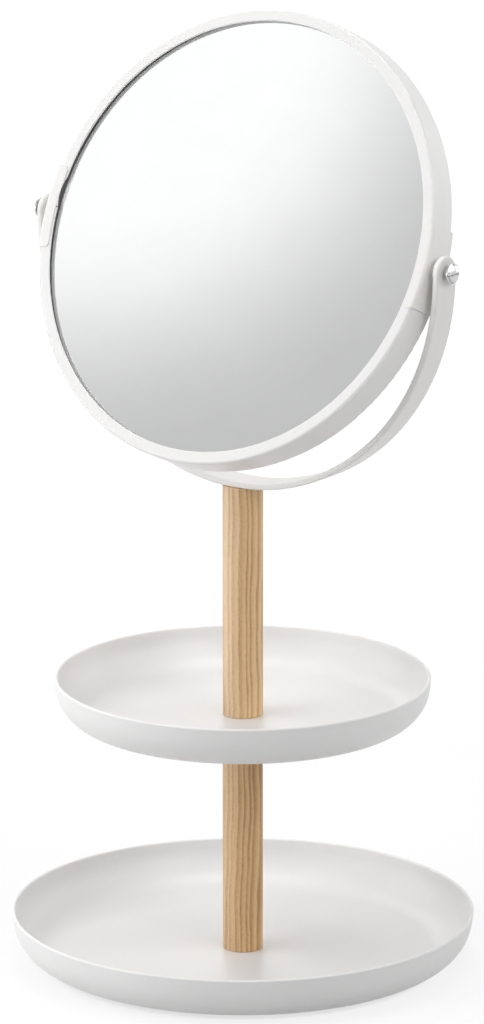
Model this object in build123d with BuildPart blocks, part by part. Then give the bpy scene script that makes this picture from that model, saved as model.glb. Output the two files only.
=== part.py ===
from build123d import *

import os
from math import cos, radians, sin, tan

# Two-tier round tray stand with a two-sided round mirror on friction pivots.
# Millimetres, +Z up. The origin lies on the table plane, under the centre of the post.
# The mirror faces -Y and turns about a horizontal axis along X.

# Foot pads
PAD_DIAMETER = 12.0
PAD_THICKNESS = 1.2
PAD_INSET = 13.6
PAD_COUNT = 4

# Lower tray
LOWER_RIM_RADIUS = 90.0
LOWER_TRAY_HEIGHT = 18.4
LOWER_WALL_LEAN = 8.4
LOWER_CORNER_RADIUS = 15.8
LOWER_WALL = 1.5
LOWER_FLOOR = 2.2

# Upper tray
UPPER_RIM_RADIUS = 72.8
UPPER_TRAY_HEIGHT = 17.4
UPPER_WALL_LEAN = 6.5
UPPER_CORNER_RADIUS = 14.6
UPPER_WALL = 1.5
UPPER_FLOOR = 2.2

# Both trays: the rim's round as a share of the wall, a little under a half
RIM_ROUND_SHARE = 0.45

# Wooden posts
POST_DIAMETER = 15.6
POST_EDGE_RADIUS = 0.5
LOWER_POST_LENGTH = 92.5
UPPER_POST_LENGTH = 91.6

# Threaded inserts, the base screw and the two studs
INSERT_DIAMETER = 8.0
INSERT_LENGTH = 10.0
INSERT_TIP_ROOM = 4.0
THREAD_DIAMETER = 4.0
FLAT_HEAD_DIAMETER = 8.0
FLAT_HEAD_ANGLE = 90.0
FLAT_SCREW_LENGTH = 12.0
HEX_SOCKET_SIZE = 2.5
HEX_SOCKET_DEPTH = 1.3
STUD_LENGTH = 20.0
YOKE_STUD_LENGTH = 11.0
YOKE_STUD_SEAT = 1.2

# Yoke: a flat strip bent to a half circle with short straight arms
YOKE_THICKNESS = 2.5
YOKE_WIDTH = 12.5
YOKE_ARM_RISE = 1.8
YOKE_EDGE_RADIUS = 0.8

# Mirror frame: a channel ring rolled from sheet, split at the left pivot
MIRROR_TILT = 24.5
FRAME_OUTER_RADIUS = 89.0
FRAME_LIP_WIDTH = 4.75
FRAME_DEPTH = 14.0
FRAME_SHEET = 0.6
FRAME_EDGE_RADIUS = 1.2
FRAME_LIP_ROUND = 0.3
FRAME_SPLIT = 0.4
RELIEF_LENGTH = 10.0
RELIEF_DEPTH = 0.8

# Mirror glasses, backing disc and edge gasket
GLASS_THICKNESS = 3.0
GLASS_CHAMFER = 0.3
GASKET_LIP = 1.6
GASKET_WEB = 2.05
GASKET_INSET = 1.35

# Pivot brackets, nuts, spacers, collars and screws
BRACKET_SHEET = 0.6
BRACKET_HALF_LENGTH = 16.3
BRACKET_FOLD = 4.2
BRACKET_CORNER_RADIUS = 2.0
BRACKET_BEND_RADIUS = 1.3
NUT_THICKNESS = 1.8
NUT_HALF_LENGTH = 7.0
NUT_WIDTH = 8.0
PIVOT_SCREW_TIP = 0.15
HEAD_DIAMETER = 8.1
HEAD_RIM = 0.7
HEAD_DOME = 1.5
HEAD_EDGE_ROUND = 0.3
SLOT_WIDTH = 1.2
SLOT_DEPTH = 1.7
COLLAR_DIAMETER = 5.4
COLLAR_THICKNESS = 2.1
COLLAR_CHAMFER = 0.2
SPACER_DIAMETER = 7.5
SPACER_THICKNESS = 2.15

# Clearances
THREAD_CLEARANCE = 0.05
SEAT_CLEARANCE = 0.05
SCREW_HOLE_CLEARANCE = 0.2
PIVOT_CLEARANCE = 0.08
SPACER_END_CLEARANCE = 0.1

# Radii and half depths that follow from the sizes above
THREAD_RADIUS = THREAD_DIAMETER / 2
TAPPED_RADIUS = THREAD_RADIUS + THREAD_CLEARANCE
SCREW_HOLE_RADIUS = THREAD_RADIUS + SCREW_HOLE_CLEARANCE
PIVOT_HOLE_RADIUS = THREAD_RADIUS + PIVOT_CLEARANCE
COUNTERSINK_RADIUS = FLAT_HEAD_DIAMETER / 2 + SEAT_CLEARANCE
FRAME_HALF_DEPTH = FRAME_DEPTH / 2
FRAME_LIP_RADIUS = FRAME_OUTER_RADIUS - FRAME_LIP_WIDTH
CHANNEL_RADIUS = FRAME_OUTER_RADIUS - FRAME_SHEET
CHANNEL_HALF_DEPTH = FRAME_HALF_DEPTH - FRAME_SHEET
CHANNEL_CORNER_RADIUS = FRAME_EDGE_RADIUS - FRAME_SHEET
RELIEF_RADIUS = (RELIEF_LENGTH**2 / 4 + RELIEF_DEPTH**2) / (2 * RELIEF_DEPTH)
GASKET_OUTER_RADIUS = CHANNEL_RADIUS - SEAT_CLEARANCE
GASKET_LIP_RADIUS = FRAME_LIP_RADIUS + GASKET_INSET
GLASS_SEAT_RADIUS = GASKET_OUTER_RADIUS - GASKET_WEB
GLASS_FACE = CHANNEL_HALF_DEPTH - GASKET_LIP
GLASS_BACK = GLASS_FACE - GLASS_THICKNESS
BRACKET_LIP_RADIUS = FRAME_OUTER_RADIUS - BRACKET_FOLD
BRACKET_SEAT_RADIUS = FRAME_OUTER_RADIUS + SEAT_CLEARANCE
BRACKET_OUTER_RADIUS = BRACKET_SEAT_RADIUS + BRACKET_SHEET
BRACKET_HALF_DEPTH = FRAME_HALF_DEPTH + BRACKET_SHEET
NUT_INNER_RADIUS = GASKET_OUTER_RADIUS - NUT_THICKNESS
YOKE_INNER_RADIUS = BRACKET_OUTER_RADIUS + SPACER_THICKNESS + SPACER_END_CLEARANCE
YOKE_OUTER_RADIUS = YOKE_INNER_RADIUS + YOKE_THICKNESS
HEAD_SEAT = YOKE_OUTER_RADIUS + COLLAR_THICKNESS
PIVOT_SCREW_LENGTH = HEAD_SEAT - NUT_INNER_RADIUS + PIVOT_SCREW_TIP

# The pads stand on the flat of the lower tray's underside, inside its corner arc
LOWER_RUN = LOWER_TRAY_HEIGHT * tan(radians(LOWER_WALL_LEAN))
LOWER_ARC_FOOT = LOWER_CORNER_RADIUS * tan(radians(90 - LOWER_WALL_LEAN) / 2)
LOWER_FLAT_RADIUS = LOWER_RIM_RADIUS - LOWER_RUN - LOWER_ARC_FOOT
PAD_CIRCLE_RADIUS = LOWER_FLAT_RADIUS - PAD_INSET

# Heights from the table up
LOWER_TRAY_BASE = PAD_THICKNESS
LOWER_POST_BASE = LOWER_TRAY_BASE + LOWER_FLOOR
UPPER_TRAY_BASE = LOWER_POST_BASE + LOWER_POST_LENGTH
UPPER_POST_BASE = UPPER_TRAY_BASE + UPPER_FLOOR
YOKE_BASE = UPPER_POST_BASE + UPPER_POST_LENGTH
YOKE_ARC_HEIGHT = YOKE_BASE + YOKE_OUTER_RADIUS
PIVOT_HEIGHT = YOKE_ARC_HEIGHT + YOKE_ARM_RISE

# The mirror's own planes: its face, with local Y up the glass, and a section along a radius
TILT = radians(MIRROR_TILT)
PIVOT = (0, 0, PIVOT_HEIGHT)
FACE_NORMAL = (0, -cos(TILT), sin(TILT))
FACE_DOWN = (0, -sin(TILT), -cos(TILT))
MIRROR_FACE = Plane(origin=PIVOT, x_dir=(1, 0, 0), z_dir=FACE_NORMAL)
MIRROR_SECTION = Plane(origin=PIVOT, x_dir=(1, 0, 0), z_dir=FACE_DOWN)
MIRROR_AXIS = Axis(PIVOT, FACE_NORMAL)

SIDES = {"left": -1, "right": 1}


def save(piece, name):
    """Label a finished piece and write it to its own file."""
    piece.part.label = name
    export_step(piece.part, f"parts/{name}.step")


def facing_down(height):
    """Horizontal plane at a height, facing downwards."""
    return Plane(origin=(0, 0, height), x_dir=(1, 0, 0), z_dir=(0, 0, -1))


def pivot_plane(side, distance):
    """Plane square to the pivot axis, facing away from the mirror's centre."""
    return Plane(origin=(side * distance, 0, PIVOT_HEIGHT), x_dir=(0, side, 0), z_dir=(side, 0, 0))


def build_tray(base, rim_radius, height, lean, corner, wall, floor):
    """Round dish with an outward-leaning wall, a rounded corner and a rounded rim."""
    run = tan(radians(lean))
    inner_rim = rim_radius - wall / cos(radians(lean))
    inner_corner = corner - (wall + floor) / 2
    with BuildPart() as tray:
        with BuildSketch(Plane.XZ) as profile:
            with BuildLine():
                outside = FilletPolyline(
                    (0, base),
                    (rim_radius - height * run, base),
                    (rim_radius, base + height),
                    radius=corner,
                )
                inside = FilletPolyline(
                    (0, base + floor),
                    (inner_rim - (height - floor) * run, base + floor),
                    (inner_rim, base + height),
                    radius=inner_corner,
                )
                Line(outside @ 0, inside @ 0)
                Line(outside @ 1, inside @ 1)
            make_face()
            fillet(profile.vertices().sort_by(Axis.Y)[-2:], wall * RIM_ROUND_SHARE)
        revolve(axis=Axis.Z)
    return tray


def build_post(base, length):
    """Wooden dowel with a pilot hole for a threaded insert in each end."""
    with BuildPart() as post:
        with BuildSketch(Plane.XY.offset(base)):
            Circle(POST_DIAMETER / 2)
        extrude(amount=length)
        fillet(post.edges().filter_by(GeomType.CIRCLE), POST_EDGE_RADIUS)
        with Locations(facing_down(base), Plane.XY.offset(base + length)):
            Hole(INSERT_DIAMETER / 2 + SEAT_CLEARANCE, depth=INSERT_LENGTH + INSERT_TIP_ROOM)
    return post


def build_insert(mouth):
    """Threaded insert whose open end lies on the mouth plane."""
    with BuildPart() as insert:
        with BuildSketch(mouth):
            Circle(INSERT_DIAMETER / 2)
            Circle(TAPPED_RADIUS, mode=Mode.SUBTRACT)
        extrude(amount=-INSERT_LENGTH)
    return insert


def build_flat_screw(head_face):
    """Flat-head screw with a hex socket, its head flush with the given plane."""
    head_height = (FLAT_HEAD_DIAMETER / 2 - THREAD_RADIUS) / tan(radians(FLAT_HEAD_ANGLE / 2))
    with BuildPart() as screw:
        with BuildSketch(head_face):
            Circle(FLAT_HEAD_DIAMETER / 2)
        extrude(amount=-head_height, taper=FLAT_HEAD_ANGLE / 2)
        with BuildSketch(head_face.offset(-head_height)):
            Circle(THREAD_RADIUS)
        extrude(amount=head_height - FLAT_SCREW_LENGTH)
        with BuildSketch(head_face):
            RegularPolygon(HEX_SOCKET_SIZE / 2, side_count=6, major_radius=False)
        extrude(amount=-HEX_SOCKET_DEPTH, mode=Mode.SUBTRACT)
    return screw


def build_glass(face, back):
    """Mirror disc or backing disc between two depths along the mirror's normal."""
    with BuildPart() as disc:
        with BuildSketch(MIRROR_FACE.offset(back)):
            Circle(GLASS_SEAT_RADIUS - SEAT_CLEARANCE)
        extrude(amount=face - back)
        chamfer(disc.edges().filter_by(GeomType.CIRCLE), GLASS_CHAMFER)
    return disc


def build_bracket(side):
    """Clip over the frame's outside, folded over both of its lips."""
    with BuildPart() as seat:
        with BuildSketch(MIRROR_FACE):
            Circle(BRACKET_SEAT_RADIUS)
        extrude(amount=FRAME_HALF_DEPTH, both=True)
        fillet(seat.edges().filter_by(GeomType.CIRCLE), BRACKET_BEND_RADIUS - BRACKET_SHEET)
    with BuildPart() as bracket:
        with BuildSketch(MIRROR_FACE) as outline:
            Circle(BRACKET_OUTER_RADIUS)
            Circle(BRACKET_LIP_RADIUS, mode=Mode.SUBTRACT)
            with Locations((side * BRACKET_OUTER_RADIUS / 2, 0)):
                Rectangle(BRACKET_OUTER_RADIUS, 2 * BRACKET_HALF_LENGTH, mode=Mode.INTERSECT)
            inner_corners = outline.vertices().sort_by_distance((0, 0))[:2]
            fillet(inner_corners, BRACKET_CORNER_RADIUS)
        extrude(amount=BRACKET_HALF_DEPTH, both=True)
        bends = bracket.edges().filter_by(GeomType.CIRCLE).sort_by(SortBy.RADIUS)
        fillet(bends.group_by(SortBy.RADIUS)[-1], BRACKET_BEND_RADIUS)
        add(seat.part, mode=Mode.SUBTRACT)
        with Locations(pivot_plane(side, BRACKET_OUTER_RADIUS)):
            Hole(SCREW_HOLE_RADIUS, depth=2 * BRACKET_SHEET)
    return bracket


def build_pivot_nut(side):
    """Curved threaded plate that lies inside the channel, behind the pivot."""
    with BuildPart() as nut:
        with BuildSketch(MIRROR_FACE):
            Circle(GASKET_OUTER_RADIUS)
            Circle(NUT_INNER_RADIUS, mode=Mode.SUBTRACT)
            with Locations((side * GASKET_OUTER_RADIUS / 2, 0)):
                Rectangle(GASKET_OUTER_RADIUS, 2 * NUT_HALF_LENGTH, mode=Mode.INTERSECT)
        extrude(amount=NUT_WIDTH / 2, both=True)
        with Locations(pivot_plane(side, GASKET_OUTER_RADIUS)):
            Hole(TAPPED_RADIUS, depth=2 * NUT_THICKNESS)
    return nut


def build_sleeve(seat, diameter, thickness, edge):
    """Short sleeve round the pivot, on a seat plane, with an optional chamfer at both ends."""
    with BuildPart() as sleeve:
        with BuildSketch(seat):
            Circle(diameter / 2)
        extrude(amount=thickness)
        if edge:
            chamfer(sleeve.edges().filter_by(GeomType.CIRCLE), edge)
        with Locations(seat.offset(thickness)):
            Hole(PIVOT_HOLE_RADIUS)
    return sleeve


def build_pivot_screw(side):
    """Domed screw with a slot that lies level, its shank running in to the pivot nut."""
    head_radius = HEAD_DIAMETER / 2
    crown = HEAD_RIM + HEAD_DOME
    dome_radius = (head_radius**2 + HEAD_DOME**2) / (2 * HEAD_DOME)
    section = Plane(
        origin=(side * HEAD_SEAT, 0, PIVOT_HEIGHT), x_dir=(0, 0, 1), z_dir=(0, side, 0)
    )
    with BuildPart() as screw:
        with BuildSketch(section) as profile:
            with BuildLine():
                Polyline((0, crown), (0, -PIVOT_SCREW_LENGTH), (THREAD_RADIUS, -PIVOT_SCREW_LENGTH))
                Polyline((THREAD_RADIUS, -PIVOT_SCREW_LENGTH), (THREAD_RADIUS, 0), (head_radius, 0))
                Line((head_radius, 0), (head_radius, HEAD_RIM))
                RadiusArc((head_radius, HEAD_RIM), (0, crown), -dome_radius)
            make_face()
            rim = profile.vertices().sort_by(Axis.X)[-2:]
            fillet(rim, HEAD_EDGE_ROUND)
        revolve(axis=Axis(section.origin, section.y_dir))
        with BuildSketch(pivot_plane(side, HEAD_SEAT + crown)):
            Rectangle(HEAD_DIAMETER, SLOT_WIDTH)
        extrude(amount=-SLOT_DEPTH, mode=Mode.SUBTRACT)
    return screw


os.makedirs("parts", exist_ok=True)

# Foot pads under the lower tray
with BuildPart() as foot_pads:
    with BuildSketch(Plane.XY):
        with PolarLocations(PAD_CIRCLE_RADIUS, PAD_COUNT, start_angle=180 / PAD_COUNT):
            Circle(PAD_DIAMETER / 2)
    extrude(amount=PAD_THICKNESS)
save(foot_pads, "foot_pads")

# Lower tray, countersunk from below
lower_dish = build_tray(
    LOWER_TRAY_BASE,
    LOWER_RIM_RADIUS,
    LOWER_TRAY_HEIGHT,
    LOWER_WALL_LEAN,
    LOWER_CORNER_RADIUS,
    LOWER_WALL,
    LOWER_FLOOR,
)
with BuildPart() as lower_tray:
    add(lower_dish.part)
    with Locations(facing_down(LOWER_TRAY_BASE)):
        CounterSinkHole(
            SCREW_HOLE_RADIUS,
            COUNTERSINK_RADIUS,
            depth=2 * LOWER_FLOOR,
            counter_sink_angle=FLAT_HEAD_ANGLE,
        )
save(lower_tray, "lower_tray")

# Upper tray, with a plain hole for the stud
upper_dish = build_tray(
    UPPER_TRAY_BASE,
    UPPER_RIM_RADIUS,
    UPPER_TRAY_HEIGHT,
    UPPER_WALL_LEAN,
    UPPER_CORNER_RADIUS,
    UPPER_WALL,
    UPPER_FLOOR,
)
with BuildPart() as upper_tray:
    add(upper_dish.part)
    with Locations(Plane.XY.offset(UPPER_TRAY_BASE + UPPER_FLOOR)):
        Hole(SCREW_HOLE_RADIUS, depth=2 * UPPER_FLOOR)
save(upper_tray, "upper_tray")

# Posts and the threaded inserts in their ends
lower_post = build_post(LOWER_POST_BASE, LOWER_POST_LENGTH)
save(lower_post, "lower_post")
save(build_insert(facing_down(LOWER_POST_BASE)), "lower_post_bottom_insert")
save(build_insert(Plane.XY.offset(UPPER_TRAY_BASE)), "lower_post_top_insert")

upper_post = build_post(UPPER_POST_BASE, UPPER_POST_LENGTH)
save(upper_post, "upper_post")
save(build_insert(facing_down(UPPER_POST_BASE)), "upper_post_bottom_insert")
save(build_insert(Plane.XY.offset(YOKE_BASE)), "upper_post_top_insert")

# Screw and studs that hold the stack together
save(build_flat_screw(facing_down(LOWER_TRAY_BASE)), "base_screw")

stud_base = UPPER_TRAY_BASE + (UPPER_FLOOR - STUD_LENGTH) / 2
with BuildPart() as joining_stud:
    with BuildSketch(Plane.XY.offset(stud_base)):
        Circle(THREAD_RADIUS)
    extrude(amount=STUD_LENGTH)
save(joining_stud, "joining_stud")

stud_head = YOKE_BASE + YOKE_STUD_SEAT
with BuildPart() as yoke_stud:
    with BuildSketch(Plane.XY.offset(stud_head)):
        Circle(THREAD_RADIUS)
    extrude(amount=-YOKE_STUD_LENGTH)
save(yoke_stud, "yoke_stud")

# Yoke: the bent strip seen from the front, then its round ends seen from the side. A blind
# seat underneath takes the stud.
arm_top = PIVOT_HEIGHT + YOKE_WIDTH / 2
with BuildPart() as yoke:
    with BuildSketch(Plane.XZ):
        with BuildLine():
            Line((-YOKE_OUTER_RADIUS, arm_top), (-YOKE_OUTER_RADIUS, YOKE_ARC_HEIGHT))
            CenterArc((0, YOKE_ARC_HEIGHT), YOKE_OUTER_RADIUS, 180, 180)
            Polyline(
                (YOKE_OUTER_RADIUS, YOKE_ARC_HEIGHT),
                (YOKE_OUTER_RADIUS, arm_top),
                (YOKE_INNER_RADIUS, arm_top),
                (YOKE_INNER_RADIUS, YOKE_ARC_HEIGHT),
            )
            CenterArc((0, YOKE_ARC_HEIGHT), YOKE_INNER_RADIUS, 0, -180)
            Polyline(
                (-YOKE_INNER_RADIUS, YOKE_ARC_HEIGHT),
                (-YOKE_INNER_RADIUS, arm_top),
                (-YOKE_OUTER_RADIUS, arm_top),
            )
        make_face()
    extrude(amount=YOKE_WIDTH / 2, both=True)
    with BuildSketch(Plane.YZ):
        with Locations((0, YOKE_BASE)):
            Rectangle(
                YOKE_WIDTH, PIVOT_HEIGHT - YOKE_BASE, align=(Align.CENTER, Align.MIN)
            )
        with Locations((0, PIVOT_HEIGHT)):
            Circle(YOKE_WIDTH / 2)
    extrude(amount=YOKE_OUTER_RADIUS, both=True, mode=Mode.INTERSECT)
    cross_edges = yoke.edges().filter_by(Axis.X) + yoke.edges().filter_by(Axis.Y)
    fillet(yoke.edges() - cross_edges, YOKE_EDGE_RADIUS)
    for side in SIDES.values():
        with Locations(pivot_plane(side, YOKE_OUTER_RADIUS)):
            Hole(PIVOT_HOLE_RADIUS, depth=2 * YOKE_THICKNESS)
    with Locations(facing_down(YOKE_BASE)):
        Hole(THREAD_RADIUS + SEAT_CLEARANCE, depth=YOKE_STUD_SEAT)
save(yoke, "yoke")

# Mirror frame: channel section turned round the mirror's axis, split at the left pivot, with
# a shallow round notch in both lips just above the split, and drilled
lip_middle = (FRAME_LIP_RADIUS + FRAME_OUTER_RADIUS) / 2
channel_middle = (FRAME_LIP_RADIUS + CHANNEL_RADIUS) / 2
with BuildPart() as mirror_frame:
    with BuildSketch(MIRROR_SECTION) as channel:
        with Locations((lip_middle, 0)):
            Rectangle(FRAME_LIP_WIDTH, FRAME_DEPTH)
        fillet(channel.vertices().sort_by(Axis.X)[-2:], FRAME_EDGE_RADIUS)
        fillet(channel.vertices().sort_by(Axis.X)[:2], FRAME_LIP_ROUND)
    revolve(axis=MIRROR_AXIS)
    with BuildSketch(MIRROR_SECTION) as hollow:
        with Locations((channel_middle, 0)):
            Rectangle(CHANNEL_RADIUS - FRAME_LIP_RADIUS, 2 * CHANNEL_HALF_DEPTH)
        fillet(hollow.vertices().sort_by(Axis.X)[-2:], CHANNEL_CORNER_RADIUS)
    revolve(axis=MIRROR_AXIS, mode=Mode.SUBTRACT)
    with BuildSketch(MIRROR_FACE):
        with Locations((-lip_middle, 0)):
            Rectangle(2 * FRAME_LIP_WIDTH, FRAME_SPLIT)
    extrude(amount=FRAME_DEPTH, both=True, mode=Mode.SUBTRACT)
    with BuildSketch(MIRROR_FACE):
        with Locations((RELIEF_RADIUS - FRAME_LIP_RADIUS - RELIEF_DEPTH, RELIEF_LENGTH / 2)):
            Circle(RELIEF_RADIUS)
    extrude(amount=FRAME_DEPTH, both=True, mode=Mode.SUBTRACT)
    for side in SIDES.values():
        with Locations(pivot_plane(side, FRAME_OUTER_RADIUS)):
            Hole(SCREW_HOLE_RADIUS, depth=2 * FRAME_SHEET)
save(mirror_frame, "mirror_frame")

# Edge gasket: rubber U section that grips both glasses and the backing disc
pocket_half_length = NUT_HALF_LENGTH + SCREW_HOLE_CLEARANCE
pocket_half_width = NUT_WIDTH / 2 + SCREW_HOLE_CLEARANCE
with BuildPart() as edge_gasket:
    with BuildSketch(MIRROR_SECTION) as grip:
        with Locations(((GASKET_LIP_RADIUS + GASKET_OUTER_RADIUS) / 2, 0)):
            Rectangle(GASKET_OUTER_RADIUS - GASKET_LIP_RADIUS, 2 * CHANNEL_HALF_DEPTH)
        fillet(grip.vertices().sort_by(Axis.X)[-2:], CHANNEL_CORNER_RADIUS)
        with Locations(((GASKET_LIP_RADIUS + GLASS_SEAT_RADIUS) / 2, 0)):
            Rectangle(GLASS_SEAT_RADIUS - GASKET_LIP_RADIUS, 2 * GLASS_FACE, mode=Mode.SUBTRACT)
    revolve(axis=MIRROR_AXIS)
    with BuildSketch(MIRROR_FACE):
        Rectangle(2 * FRAME_OUTER_RADIUS, 2 * pocket_half_length)
        Circle(GLASS_SEAT_RADIUS, mode=Mode.SUBTRACT)
    extrude(amount=pocket_half_width, both=True, mode=Mode.SUBTRACT)
save(edge_gasket, "edge_gasket")

# Two mirror glasses, back to back on a backing disc
save(build_glass(GLASS_FACE, GLASS_BACK), "front_mirror")
save(build_glass(GLASS_BACK, -GLASS_BACK), "backing_disc")
save(build_glass(-GLASS_BACK, -GLASS_FACE), "back_mirror")

# Pivots, from the inside of the frame outwards
for side_name, side in SIDES.items():
    bracket = build_bracket(side)
    save(bracket, f"pivot_bracket_{side_name}")
    nut = build_pivot_nut(side)
    save(nut, f"pivot_nut_{side_name}")
    bracket_face = pivot_plane(side, BRACKET_OUTER_RADIUS)
    spacer = build_sleeve(bracket_face, SPACER_DIAMETER, SPACER_THICKNESS, 0)
    save(spacer, f"pivot_spacer_{side_name}")
    yoke_face = pivot_plane(side, YOKE_OUTER_RADIUS)
    collar = build_sleeve(yoke_face, COLLAR_DIAMETER, COLLAR_THICKNESS, COLLAR_CHAMFER)
    save(collar, f"pivot_collar_{side_name}")
    screw = build_pivot_screw(side)
    save(screw, f"pivot_screw_{side_name}")
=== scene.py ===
import math

import bpy
from mathutils import Euler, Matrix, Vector

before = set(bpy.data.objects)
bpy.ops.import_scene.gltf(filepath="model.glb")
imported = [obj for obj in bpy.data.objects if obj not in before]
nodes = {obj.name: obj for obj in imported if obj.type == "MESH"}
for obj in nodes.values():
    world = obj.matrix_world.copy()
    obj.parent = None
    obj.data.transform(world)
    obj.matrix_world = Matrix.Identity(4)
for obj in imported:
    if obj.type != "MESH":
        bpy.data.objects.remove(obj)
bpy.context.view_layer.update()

MM = 0.001
PIVOT_HEIGHT = 0.2859


# ---------------------------------------------------------------- node helpers


def start_material(name):
    """New material with one Principled surface, ready for its finish."""
    material = bpy.data.materials.new(name)
    material.use_nodes = True
    tree = material.node_tree
    tree.nodes.clear()
    surface = tree.nodes.new("ShaderNodeBsdfPrincipled")
    output = tree.nodes.new("ShaderNodeOutputMaterial")
    tree.links.new(surface.outputs["BSDF"], output.inputs["Surface"])
    return material, tree, surface


def piece_place(tree, centre=(0, 0, 0), turn=(0, 0, 0), cell=(1, 1, 1)):
    """Place on the piece, measured from a centre along turned axes, in cells of a given size."""
    coordinates = tree.nodes.new("ShaderNodeTexCoord")
    mapping = tree.nodes.new("ShaderNodeMapping")
    mapping.vector_type = "TEXTURE"
    mapping.inputs["Location"].default_value = centre
    mapping.inputs["Rotation"].default_value = turn
    mapping.inputs["Scale"].default_value = cell
    tree.links.new(coordinates.outputs["Object"], mapping.inputs["Vector"])
    return mapping.outputs["Vector"]


def axis_reach(tree, centre, turn=(0, 0, 0)):
    """Distance from an axis through a centre, which runs along Z unless it is turned."""
    flat = tree.nodes.new("ShaderNodeVectorMath")
    flat.operation = "MULTIPLY"
    flat.inputs[1].default_value = (1, 1, 0)
    tree.links.new(piece_place(tree, centre=centre, turn=turn), flat.inputs[0])
    distance = tree.nodes.new("ShaderNodeVectorMath")
    distance.operation = "LENGTH"
    tree.links.new(flat.outputs["Vector"], distance.inputs[0])
    return distance.outputs["Value"]


def uneven_line(tree, along, scale, detail):
    """Noise along one number."""
    noise = tree.nodes.new("ShaderNodeTexNoise")
    noise.noise_dimensions = "1D"
    noise.inputs["Scale"].default_value = scale
    noise.inputs["Detail"].default_value = detail
    tree.links.new(along, noise.inputs["W"])
    return noise.outputs["Fac"]


def cube(side):
    """Cell with three equal sides."""
    return (side, side, side)


def speckle(tree, place, detail=2.0, roughness=0.5, distortion=0.0):
    """Noise value, one lump to a cell."""
    noise = tree.nodes.new("ShaderNodeTexNoise")
    noise.inputs["Scale"].default_value = 1.0
    noise.inputs["Detail"].default_value = detail
    noise.inputs["Roughness"].default_value = roughness
    noise.inputs["Distortion"].default_value = distortion
    tree.links.new(place, noise.inputs["Vector"])
    return noise.outputs["Fac"]


def sum_up(tree, operation, first, second=None):
    """One math step on sockets or plain numbers."""
    step = tree.nodes.new("ShaderNodeMath")
    step.operation = operation
    for socket, value in zip(step.inputs, (first, second)):
        if value is None:
            continue
        if isinstance(value, (int, float)):
            socket.default_value = value
        else:
            tree.links.new(value, socket)
    return step.outputs["Value"]


def spread(tree, value, low, high, to_low=0.0, to_high=1.0):
    """Stretches a value from one range to another and holds it there."""
    stretch = tree.nodes.new("ShaderNodeMapRange")
    stretch.clamp = True
    stretch.inputs["From Min"].default_value = low
    stretch.inputs["From Max"].default_value = high
    stretch.inputs["To Min"].default_value = to_low
    stretch.inputs["To Max"].default_value = to_high
    tree.links.new(value, stretch.inputs["Value"])
    return stretch.outputs["Result"]


def shades(tree, value, stops):
    """Colour ramp through (place, colour) stops."""
    ramp = tree.nodes.new("ShaderNodeValToRGB")
    band = ramp.color_ramp
    while len(band.elements) < len(stops):
        band.elements.new(0.5)
    for element, (where, colour) in zip(band.elements, stops):
        element.position = where
        element.color = (*colour, 1.0)
    tree.links.new(value, ramp.inputs["Fac"])
    return ramp.outputs["Color"]


def grey_shades(tree, value, stops):
    """Ramp of greys through (place, grey) stops, as a value."""
    ramp = shades(tree, value, [(where, (grey, grey, grey)) for where, grey in stops])
    level = tree.nodes.new("ShaderNodeRGBToBW")
    tree.links.new(ramp, level.inputs["Color"])
    return level.outputs["Val"]


def blend_colour(tree, share, under, over, how="MIX"):
    """Lays one colour over another by a share."""
    mix = tree.nodes.new("ShaderNodeMix")
    mix.data_type = "RGBA"
    mix.blend_type = how
    sockets = {"share": mix.inputs[0], "under": mix.inputs[6], "over": mix.inputs[7]}
    for key, value in (("share", share), ("under", under), ("over", over)):
        if isinstance(value, (int, float)):
            sockets[key].default_value = value
        elif isinstance(value, tuple):
            sockets[key].default_value = (*value, 1.0)
        else:
            tree.links.new(value, sockets[key])
    return mix.outputs[2]


def relief(tree, surface, height, depth, strength=1.0):
    """Bump of a given depth in metres on the surface."""
    bump = tree.nodes.new("ShaderNodeBump")
    bump.inputs["Strength"].default_value = strength
    bump.inputs["Distance"].default_value = depth
    tree.links.new(height, bump.inputs["Height"])
    tree.links.new(bump.outputs["Normal"], surface.inputs["Normal"])


def edge_share(tree, radius, low=0.02, high=0.35):
    """How near the surface is to a sharp edge, from 0 to 1."""
    bevel = tree.nodes.new("ShaderNodeBevel")
    bevel.samples = 6
    bevel.inputs["Radius"].default_value = radius
    geometry = tree.nodes.new("ShaderNodeNewGeometry")
    compare = tree.nodes.new("ShaderNodeVectorMath")
    compare.operation = "DOT_PRODUCT"
    tree.links.new(bevel.outputs["Normal"], compare.inputs[0])
    tree.links.new(geometry.outputs["Normal"], compare.inputs[1])
    away = sum_up(tree, "SUBTRACT", 1.0, compare.outputs["Value"])
    return spread(tree, away, low, high)


# ---------------------------------------------------------------- finishes

# Share of early wood through one year, and of the painted dark reflection ring on the screw head
# from its inner to its outer edge
EARLY_WOOD = ((0.0, 1.0), (0.24, 0.72), (0.50, 0.20), (0.80, 0.0), (1.0, 0.85))
PAINTED_REFLECTION_RING = ((0.0, 0.0), (0.35, 0.50), (0.60, 0.50), (0.85, 0.05), (1.0, 0.0))


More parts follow.
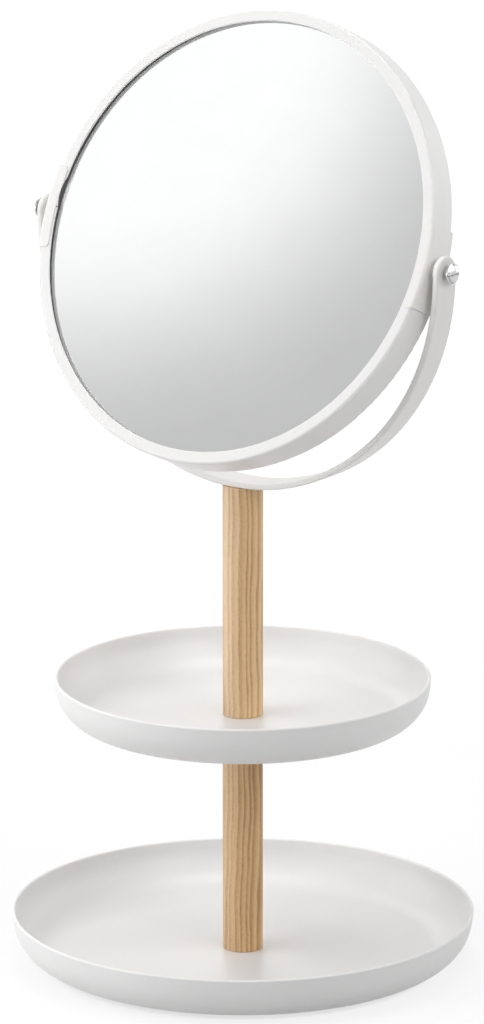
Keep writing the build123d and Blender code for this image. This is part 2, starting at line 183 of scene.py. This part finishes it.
def satin_coat(name, white, gloss, peel_cell, peel_depth):
    """Satin powder coat: fine orange peel, a faint unevenness and thinner cover on the edges."""
    material, tree, surface = start_material(name)
    drift = speckle(tree, piece_place(tree, cell=cube(0.06)), 2.0)
    tint = shades(
        tree,
        drift,
        [
            (0.3, tuple(c * 0.985 for c in white)),
            (0.7, white),
        ],
    )
    grit = speckle(tree, piece_place(tree, cell=cube(0.4 * MM)), 1.0)
    grit_share = spread(tree, grit, 0.62, 0.75, 0.0, 0.05)
    tint = blend_colour(tree, grit_share, tint, (0.62, 0.62, 0.60))
    worn = sum_up(tree, "MULTIPLY", edge_share(tree, 0.5 * MM), 0.10)
    tint = blend_colour(tree, worn, tint, (0.66, 0.66, 0.65))
    tree.links.new(tint, surface.inputs["Base Color"])

    peel = speckle(tree, piece_place(tree, cell=cube(peel_cell)), 2.0, 0.45)
    rough = spread(tree, peel, 0.3, 0.7, gloss - 0.04, gloss + 0.05)
    tree.links.new(rough, surface.inputs["Roughness"])
    relief(tree, surface, peel, peel_depth, 0.6)
    surface.inputs["IOR"].default_value = 1.48
    surface.inputs["Coat Weight"].default_value = 0.15
    surface.inputs["Coat Roughness"].default_value = 0.25
    return material


def ash_wood(name, pith, reach_near, ring, sway_depth, seed, pale, bare, early_share):
    """Straight-grained ash: rings from a far pith, rows of pores in the early wood, fine fibres."""
    material, tree, surface = start_material(name)

    # The rings lean and bend slowly along the post and waver a little
    sway = speckle(tree, piece_place(tree, centre=seed, cell=(0.04, 0.04, 0.055)), 1.0)
    waver = speckle(tree, piece_place(tree, centre=seed, cell=(0.007, 0.007, 0.012)), 2.0)
    sway = spread(tree, sway, 0.25, 0.75, -sway_depth, sway_depth)
    waver = spread(tree, waver, 0.2, 0.8, -0.28 * MM, 0.28 * MM)

    reach = sum_up(tree, "ADD", axis_reach(tree, pith), sway)
    reach = sum_up(tree, "ADD", reach, waver)

    # Rings of uneven width
    years = sum_up(tree, "DIVIDE", reach, ring)
    uneven = uneven_line(tree, years, 0.55, 1.0)
    years = sum_up(tree, "ADD", years, spread(tree, uneven, 0.2, 0.8, -0.45, 0.45))
    season = sum_up(tree, "FRACT", years)

    fibre = speckle(tree, piece_place(tree, cell=(0.28 * MM, 0.28 * MM, 7 * MM)), 3.0, 0.6)
    vessel = speckle(tree, piece_place(tree, cell=(0.2 * MM, 0.2 * MM, 1.1 * MM)), 1.0)
    patch = speckle(tree, piece_place(tree, centre=seed, cell=(0.004, 0.004, 0.035)), 2.0)
    ripple = speckle(tree, piece_place(tree, cell=(0.9 * MM, 0.9 * MM, 1.6 * MM)), 2.0, 0.6)

    early = grey_shades(tree, season, EARLY_WOOD)

    # The rings nearest the pith are barer in colour
    depth = spread(tree, reach, reach_near + 3.5 * MM, reach_near + 7.5 * MM)
    tint = blend_colour(tree, depth, bare, pale)
    warm = spread(tree, patch, 0.5, 0.7, 0.0, 0.30)
    tint = blend_colour(tree, warm, tint, (0.74, 0.46, 0.30))
    rippled = spread(tree, ripple, 0.3, 0.7, 0.0, 1.0)
    rippled = sum_up(tree, "MULTIPLY", rippled, 0.28)
    tint = blend_colour(tree, rippled, tint, (0.93, 0.73, 0.42))

    # Early wood, fibres and pores darken what lies under them
    strength = spread(tree, patch, 0.3, 0.7, 0.55, 1.0)
    strength = sum_up(tree, "MULTIPLY", strength, spread(tree, depth, 0.0, 1.0, 0.6, 1.0))
    line_share = sum_up(tree, "MULTIPLY", early, strength)
    line_share = sum_up(tree, "MULTIPLY", line_share, early_share)
    tint = blend_colour(tree, line_share, tint, (0.58, 0.45, 0.29), "MULTIPLY")
    fibre_share = spread(tree, fibre, 0.35, 0.7, 0.0, 0.45)
    tint = blend_colour(tree, fibre_share, tint, (0.76, 0.68, 0.54), "MULTIPLY")
    pores = sum_up(tree, "MULTIPLY", spread(tree, vessel, 0.54, 0.66), early)
    pore_share = sum_up(tree, "MULTIPLY", pores, 0.5)
    tint = blend_colour(tree, pore_share, tint, (0.60, 0.44, 0.28), "MULTIPLY")
    tree.links.new(tint, surface.inputs["Base Color"])

    rough = spread(tree, fibre, 0.3, 0.7, 0.46, 0.60)
    tree.links.new(rough, surface.inputs["Roughness"])
    height = sum_up(tree, "MULTIPLY", pores, -1.0)
    height = sum_up(tree, "ADD", height, sum_up(tree, "MULTIPLY", fibre, 0.35))
    relief(tree, surface, height, 0.06 * MM, 0.7)
    surface.inputs["IOR"].default_value = 1.36
    return material


def silvered_glass(name):
    """Mirror glass: bright silvering, the faintest smears and a slightly greener ground edge."""
    material, tree, surface = start_material(name)
    smear = speckle(tree, piece_place(tree, cell=(0.03, 0.02, 0.02)), 3.0, 0.55, 0.4)
    tint = shades(
        tree,
        smear,
        [(0.35, (0.925, 0.93, 0.93)), (0.65, (0.94, 0.945, 0.945))],
    )
    rim = edge_share(tree, 0.3 * MM, 0.01, 0.2)
    tint = blend_colour(tree, rim, tint, (0.80, 0.86, 0.84))
    tree.links.new(tint, surface.inputs["Base Color"])
    rough = spread(tree, smear, 0.4, 0.7, 0.012, 0.022)
    rough = sum_up(tree, "ADD", rough, sum_up(tree, "MULTIPLY", rim, 0.25))
    tree.links.new(rough, surface.inputs["Roughness"])
    surface.inputs["Metallic"].default_value = 1.0
    return material


def edge_rubber(name):
    """Matt black rubber with a little bloom."""
    material, tree, surface = start_material(name)
    bloom = speckle(tree, piece_place(tree, cell=cube(1.5 * MM)), 3.0)
    tint = shades(tree, bloom, [(0.3, (0.045, 0.045, 0.046)), (0.75, (0.085, 0.085, 0.086))])
    tree.links.new(tint, surface.inputs["Base Color"])
    tree.links.new(spread(tree, bloom, 0.3, 0.7, 0.55, 0.72), surface.inputs["Roughness"])
    grain = speckle(tree, piece_place(tree, cell=cube(0.2 * MM)), 1.0)
    relief(tree, surface, grain, 0.02 * MM, 0.5)
    return material


def turned_metal(name, bright, dull, centre, turn, gloss, line, painted_reflection_radii=None):
    """Turned and plated metal: fine rings round its own axis, small scratches, painted shade in the
    nooks, and on request a painted dark reflection ring.
    """
    material, tree, surface = start_material(name)
    reach = axis_reach(tree, centre, turn)
    rings = uneven_line(tree, reach, 1.0 / line, 2.0)
    scuff = speckle(tree, piece_place(tree, cell=cube(1.2 * MM)), 4.0, 0.65)
    tint = blend_colour(tree, spread(tree, scuff, 0.4, 0.75, 0.0, 0.5), bright, dull)
    worn = sum_up(tree, "MULTIPLY", edge_share(tree, 0.15 * MM), 0.5)
    tint = blend_colour(tree, worn, tint, dull)
    if painted_reflection_radii:
        # Painted reflection: a dark ring across the screw head stands in for dark things the turned
        # steel would reflect
        ring = grey_shades(tree, spread(tree, reach, *painted_reflection_radii), PAINTED_REFLECTION_RING)
        tint = blend_colour(tree, ring, tint, (0.13, 0.13, 0.135))
    # Painted shade: the colour goes nearly black where ambient occlusion finds a nook within 0.6 mm
    nook = tree.nodes.new("ShaderNodeAmbientOcclusion")
    nook.samples = 8
    nook.only_local = True
    nook.inputs["Distance"].default_value = 0.6 * MM
    painted_nook_shade = spread(tree, nook.outputs["AO"], 0.35, 0.95, 0.9, 0.0)
    tint = blend_colour(tree, painted_nook_shade, tint, (0.05, 0.048, 0.045))
    tree.links.new(tint, surface.inputs["Base Color"])
    rough = sum_up(
        tree,
        "ADD",
        spread(tree, rings, 0.3, 0.7, gloss - 0.04, gloss + 0.04),
        spread(tree, scuff, 0.45, 0.75, 0.0, 0.10),
    )
    tree.links.new(rough, surface.inputs["Roughness"])
    relief(tree, surface, rings, 0.004 * MM, 0.6)
    surface.inputs["Metallic"].default_value = 1.0
    return material


def moulded_plastic(name, tone, gloss):
    """Moulded plastic with a fine spark-eroded grain."""
    material, tree, surface = start_material(name)
    cloud = speckle(tree, piece_place(tree, cell=cube(3 * MM)), 2.0)
    tint = shades(tree, cloud, [(0.3, tuple(c * 0.88 for c in tone)), (0.7, tone)])
    tree.links.new(tint, surface.inputs["Base Color"])
    grain = speckle(tree, piece_place(tree, cell=cube(0.15 * MM)), 2.0)
    rough = spread(tree, grain, 0.3, 0.7, gloss - 0.06, gloss + 0.06)
    tree.links.new(rough, surface.inputs["Roughness"])
    relief(tree, surface, grain, 0.015 * MM, 0.6)
    return material


def pressed_board(name):
    """Raw hardboard: short pressed fibres in two browns."""
    material, tree, surface = start_material(name)
    chips = speckle(tree, piece_place(tree, cell=cube(0.8 * MM)), 5.0, 0.7, 1.2)
    tint = shades(tree, chips, [(0.3, (0.16, 0.10, 0.055)), (0.7, (0.30, 0.20, 0.12))])
    tree.links.new(tint, surface.inputs["Base Color"])
    tree.links.new(spread(tree, chips, 0.3, 0.7, 0.7, 0.9), surface.inputs["Roughness"])
    relief(tree, surface, chips, 0.05 * MM, 0.6)
    return material


def dress(names, material):
    """Gives CAD nodes their finish."""
    for name in names:
        mesh = nodes[name].data
        if not mesh.materials:
            mesh.materials.append(material)
        for place in range(len(mesh.materials)):
            mesh.materials[place] = material


# ---------------------------------------------------------------- finishes on the pieces

WHITE = (0.861, 0.857, 0.854)
SOFT_WHITE = (0.864, 0.856, 0.851)
WARM_WHITE = (0.868, 0.855, 0.833)

tray_coat = satin_coat("tray_satin_coat", WHITE, 0.42, 0.9 * MM, 0.02 * MM)
yoke_coat = satin_coat("yoke_satin_coat", WARM_WHITE, 0.38, 0.8 * MM, 0.02 * MM)
frame_coat = satin_coat("frame_satin_coat", SOFT_WHITE, 0.36, 0.8 * MM, 0.02 * MM)
bracket_coat = satin_coat("bracket_satin_coat", WARM_WHITE, 0.38, 0.7 * MM, 0.02 * MM)
dress(["lower_tray", "upper_tray"], tray_coat)
dress(["yoke"], yoke_coat)
dress(["mirror_frame"], frame_coat)
dress(["pivot_bracket_left", "pivot_bracket_right"], bracket_coat)

LOWER_PALE_ASH = (0.73, 0.482, 0.268)
LOWER_BARE_ASH = (0.77, 0.545, 0.345)
UPPER_PALE_ASH = (0.85, 0.592, 0.342)
UPPER_BARE_ASH = (0.86, 0.65, 0.46)

lower_ash = ash_wood(
    "lower_post_ash",
    (-0.064, -0.047, 0.0),
    71.4 * MM,
    2.15 * MM,
    1.5 * MM,
    (0.02, 0.01, 0.03),
    LOWER_PALE_ASH,
    LOWER_BARE_ASH,
    0.95,
)
upper_ash = ash_wood(
    "upper_post_ash",
    (-0.072, -0.053, 0.0),
    81.4 * MM,
    2.2 * MM,
    0.9 * MM,
    (0.11, 0.04, 0.07),
    UPPER_PALE_ASH,
    UPPER_BARE_ASH,
    0.8,
)
dress(["lower_post"], lower_ash)
dress(["upper_post"], upper_ash)

dress(["front_mirror", "back_mirror"], silvered_glass("silvered_mirror_glass"))
dress(["edge_gasket"], edge_rubber("black_edge_rubber"))
dress(["backing_disc"], pressed_board("raw_hardboard"))

STEEL_BRIGHT = (0.62, 0.62, 0.62)
STEEL_DULL = (0.42, 0.41, 0.40)
pivot_steel = turned_metal(
    "pivot_bright_steel",
    STEEL_BRIGHT,
    STEEL_DULL,
    (0, 0, PIVOT_HEIGHT),
    (0, math.pi / 2, 0),
    0.16,
    0.12 * MM,
    # Inner and outer radius of the painted dark reflection ring on the screw head
    (3.0 * MM, 4.05 * MM),
)
stack_steel = turned_metal(
    "stack_bright_steel", STEEL_BRIGHT, STEEL_DULL, (0, 0, 0), (0, 0, 0), 0.2, 0.12 * MM
)
insert_brass = turned_metal(
    "turned_insert_brass",
    (0.80, 0.60, 0.28),
    (0.55, 0.40, 0.18),
    (0, 0, 0),
    (0, 0, 0),
    0.3,
    0.15 * MM,
)
for side_name in ("left", "right"):
    dress(
        [f"pivot_screw_{side_name}", f"pivot_collar_{side_name}", f"pivot_nut_{side_name}"],
        pivot_steel,
    )
dress(["base_screw", "yoke_stud", "joining_stud"], stack_steel)
dress([name for name in nodes if name.endswith("_insert")], insert_brass)
natural_nylon = moulded_plastic("natural_nylon", (0.80, 0.80, 0.77), 0.45)
dress(["pivot_spacer_left", "pivot_spacer_right"], natural_nylon)
dress(["foot_pads"], moulded_plastic("grey_pad_rubber", (0.50, 0.50, 0.49), 0.65))


# ---------------------------------------------------------------- studio


def stage_material(name):
    """Bare node material for the studio."""
    material = bpy.data.materials.new(name)
    material.use_nodes = True
    material.node_tree.nodes.clear()
    return material, material.node_tree


def background_share(tree):
    """1 for what the camera, gloss or clear pieces show, 0 for light on the object."""
    rays = tree.nodes.new("ShaderNodeLightPath")
    seen = sum_up(
        tree, "MAXIMUM", rays.outputs["Is Camera Ray"], rays.outputs["Is Glossy Ray"]
    )
    return sum_up(tree, "MAXIMUM", seen, rays.outputs["Is Transmission Ray"])


def add_plate(name, side, place, facing):
    """Flat square plate of the studio, its face towards a point."""
    half = side / 2
    corners = [(-half, -half, 0), (half, -half, 0), (half, half, 0), (-half, half, 0)]
    mesh = bpy.data.meshes.new(name)
    mesh.from_pydata(corners, [], [(0, 1, 2, 3)])
    plate = bpy.data.objects.new(name, mesh)
    plate.location = place
    plate.rotation_euler = (Vector(facing) - Vector(place)).to_track_quat("Z", "Y").to_euler()
    bpy.context.scene.collection.objects.link(plate)
    return plate


def add_floor():
    """Pale floor: white to the camera and to gloss, with the object's shadow close under it."""
    floor = add_plate("studio_floor", FLOOR_SIDE, (0, 0, 0), (0, 0, 1))
    material, tree = stage_material("studio_floor_white")
    seen = background_share(tree)
    paint = tree.nodes.new("ShaderNodeBsdfDiffuse")
    tree.links.new(
        blend_colour(tree, seen, (FLOOR_PALE,) * 3, (FLOOR_SHADED,) * 3), paint.inputs["Color"]
    )

    # The white lift grows outwards, where the lamps no longer reach, and stops under the object
    reach = tree.nodes.new("ShaderNodeVectorMath")
    reach.operation = "LENGTH"
    tree.links.new(piece_place(tree), reach.inputs[0])
    level = spread(tree, reach.outputs["Value"], 0.3, 1.6, 1.0 - FLOOR_SHADED, 1.0)
    # Painted contact shadow: the white lift dims where ambient occlusion finds the object within 2
    # mm
    contact_shadow_occlusion = tree.nodes.new("ShaderNodeAmbientOcclusion")
    contact_shadow_occlusion.samples = 8
    contact_shadow_occlusion.inputs["Distance"].default_value = 2 * MM
    open_share = spread(tree, contact_shadow_occlusion.outputs["AO"], 0.2, 0.9, 0.8, 1.0)
    level = sum_up(tree, "MULTIPLY", level, open_share)
    lift = tree.nodes.new("ShaderNodeEmission")
    lift.inputs["Color"].default_value = (1, 1, 1, 1)
    tree.links.new(sum_up(tree, "MULTIPLY", seen, level), lift.inputs["Strength"])
    both = tree.nodes.new("ShaderNodeAddShader")
    tree.links.new(paint.outputs["BSDF"], both.inputs[0])
    tree.links.new(lift.outputs["Emission"], both.inputs[1])
    clear = tree.nodes.new("ShaderNodeBsdfTransparent")
    geometry = tree.nodes.new("ShaderNodeNewGeometry")
    sided = tree.nodes.new("ShaderNodeMixShader")
    tree.links.new(geometry.outputs["Backfacing"], sided.inputs["Fac"])
    tree.links.new(both.outputs["Shader"], sided.inputs[1])
    tree.links.new(clear.outputs["BSDF"], sided.inputs[2])
    output = tree.nodes.new("ShaderNodeOutputMaterial")
    tree.links.new(sided.outputs["Shader"], output.inputs["Surface"])
    floor.data.materials.append(material)
    floor.visible_shadow = False


def add_round_softbox():
    """Softbox that the mirror shows: white in the middle, greyer around it, white at its rim."""
    box = add_plate("round_softbox", SOFTBOX_SIDE, SOFTBOX_PLACE, SOFTBOX_AIM)
    material, tree = stage_material("round_softbox_cloth")
    coordinates = tree.nodes.new("ShaderNodeTexCoord")
    reach = tree.nodes.new("ShaderNodeVectorMath")
    reach.operation = "LENGTH"
    tree.links.new(coordinates.outputs["Object"], reach.inputs[0])
    level = spread(tree, reach.outputs["Value"], 0.15, 0.33)
    cloth = grey_shades(tree, level, SOFTBOX_LEVELS)
    rays = tree.nodes.new("ShaderNodeLightPath")
    rim = spread(tree, reach.outputs["Value"], 0.45, 1.15, 0.0, 0.396)
    rim = sum_up(tree, "MULTIPLY", rim, rays.outputs["Is Glossy Ray"])
    strength = sum_up(tree, "ADD", cloth, rim)
    glow = tree.nodes.new("ShaderNodeEmission")
    glow.inputs["Color"].default_value = (1, 1, 1, 1)
    tree.links.new(sum_up(tree, "MULTIPLY", strength, SOFTBOX_STRENGTH), glow.inputs["Strength"])
    output = tree.nodes.new("ShaderNodeOutputMaterial")
    tree.links.new(glow.outputs["Emission"], output.inputs["Surface"])
    box.data.materials.append(material)
    box.visible_camera = False


def add_lamp(name, place, side, power, in_gloss=True):
    """Plain square soft lamp, shown in gloss unless it hangs before the softbox."""
    light = bpy.data.lights.new(name, "AREA")
    light.shape = "RECTANGLE"
    light.size = side
    light.size_y = side
    light.energy = power
    lamp = bpy.data.objects.new(name, light)
    lamp.location = place
    lamp.rotation_euler = (Vector(LIT_POINT) - Vector(place)).to_track_quat("-Z", "Y").to_euler()
    lamp.visible_camera = False
    lamp.visible_glossy = in_gloss
    bpy.context.scene.collection.objects.link(lamp)


def light_world():
    """White surround for the camera and for gloss, and an even dome of light for the rest."""
    world = bpy.data.worlds.new("studio_surround")
    world.use_nodes = True
    tree = world.node_tree
    tree.nodes.clear()
    seen = background_share(tree)
    level = sum_up(tree, "ADD", sum_up(tree, "MULTIPLY", seen, 1.0 - DOME_LEVEL), DOME_LEVEL)
    background = tree.nodes.new("ShaderNodeBackground")
    background.inputs["Color"].default_value = (1, 1, 1, 1)
    tree.links.new(level, background.inputs["Strength"])
    output = tree.nodes.new("ShaderNodeOutputWorld")
    tree.links.new(background.outputs["Background"], output.inputs["Surface"])
    bpy.context.scene.world = world


FLOOR_SIDE = 40.0
FLOOR_PALE = 0.575
FLOOR_SHADED = 0.20
DOME_LEVEL = 0.02
LAMP_SIDE = 1.3
UNDER_LAMP_SIDE = 1.8
SOFTBOX_SIDE = 2.4
SOFTBOX_PLACE = (-1.2704, -1.2175, 1.2649)
SOFTBOX_AIM = (0.001, -0.0046, 0.2879)
SOFTBOX_STRENGTH = 1.06
SOFTBOX_LEVELS = (
    (0.0, 1.0),
    (0.11, 0.989),
    (0.22, 0.954),
    (0.33, 0.894),
    (0.44, 0.808),
    (0.56, 0.720),
    (0.67, 0.645),
    (0.78, 0.594),
    (0.89, 0.560),
    (1.0, 0.547),
)
LIT_POINT = (0.0, 0.0, 0.15)
# Name, place, power in watts, and whether gloss shows the lamp
LAMPS = (
    ("softbox_lamp", (-1.15, -1.10, 1.35), 7.6, False),
    ("high_front_lamp", (-0.6, -1.2, 1.7), 7.4, False),
    ("low_front_left_lamp", (-1.4, -1.7, 0.3), 17.8, True),
    ("low_left_lamp", (-1.9, -0.7, 0.7), 7.6, True),
    ("low_front_lamp", (-0.5, -2.2, 0.7), 2.9, True),
    ("top_lamp", (0.0, 0.2, 2.4), 18.9, True),
    ("right_lamp", (2.1, -0.5, 1.2), 14.2, True),
    ("right_front_lamp", (1.2, -1.9, 1.3), 3.0, True),
    ("back_right_lamp", (1.9, 0.9, 1.3), 10.6, True),
    ("back_left_lamp", (-1.5, 1.3, 1.5), 9.3, True),
    ("low_back_lamp", (0.6, 1.6, 0.3), 3.6, True),
)

add_floor()
add_round_softbox()
for name, place, power, in_gloss in LAMPS:
    add_lamp(name, place, LAMP_SIDE, power, in_gloss)
add_lamp("under_lamp", (0.0, 0.0, -1.0), UNDER_LAMP_SIDE, 5.0)
light_world()

camera_data = bpy.data.cameras.new("camera")
camera_data.lens = 254.14
camera_data.sensor_width = 36.0
camera_data.clip_start = 0.1
camera_data.clip_end = 100.0
camera = bpy.data.objects.new("camera", camera_data)
camera.location = (1.5872, -2.1599, 0.8941)
camera.rotation_euler = Euler((math.radians(75.057), 0.0, math.radians(36.317)))
bpy.context.scene.collection.objects.link(camera)
bpy.context.scene.camera = camera

bpy.context.scene.view_settings.view_transform = "Standard"
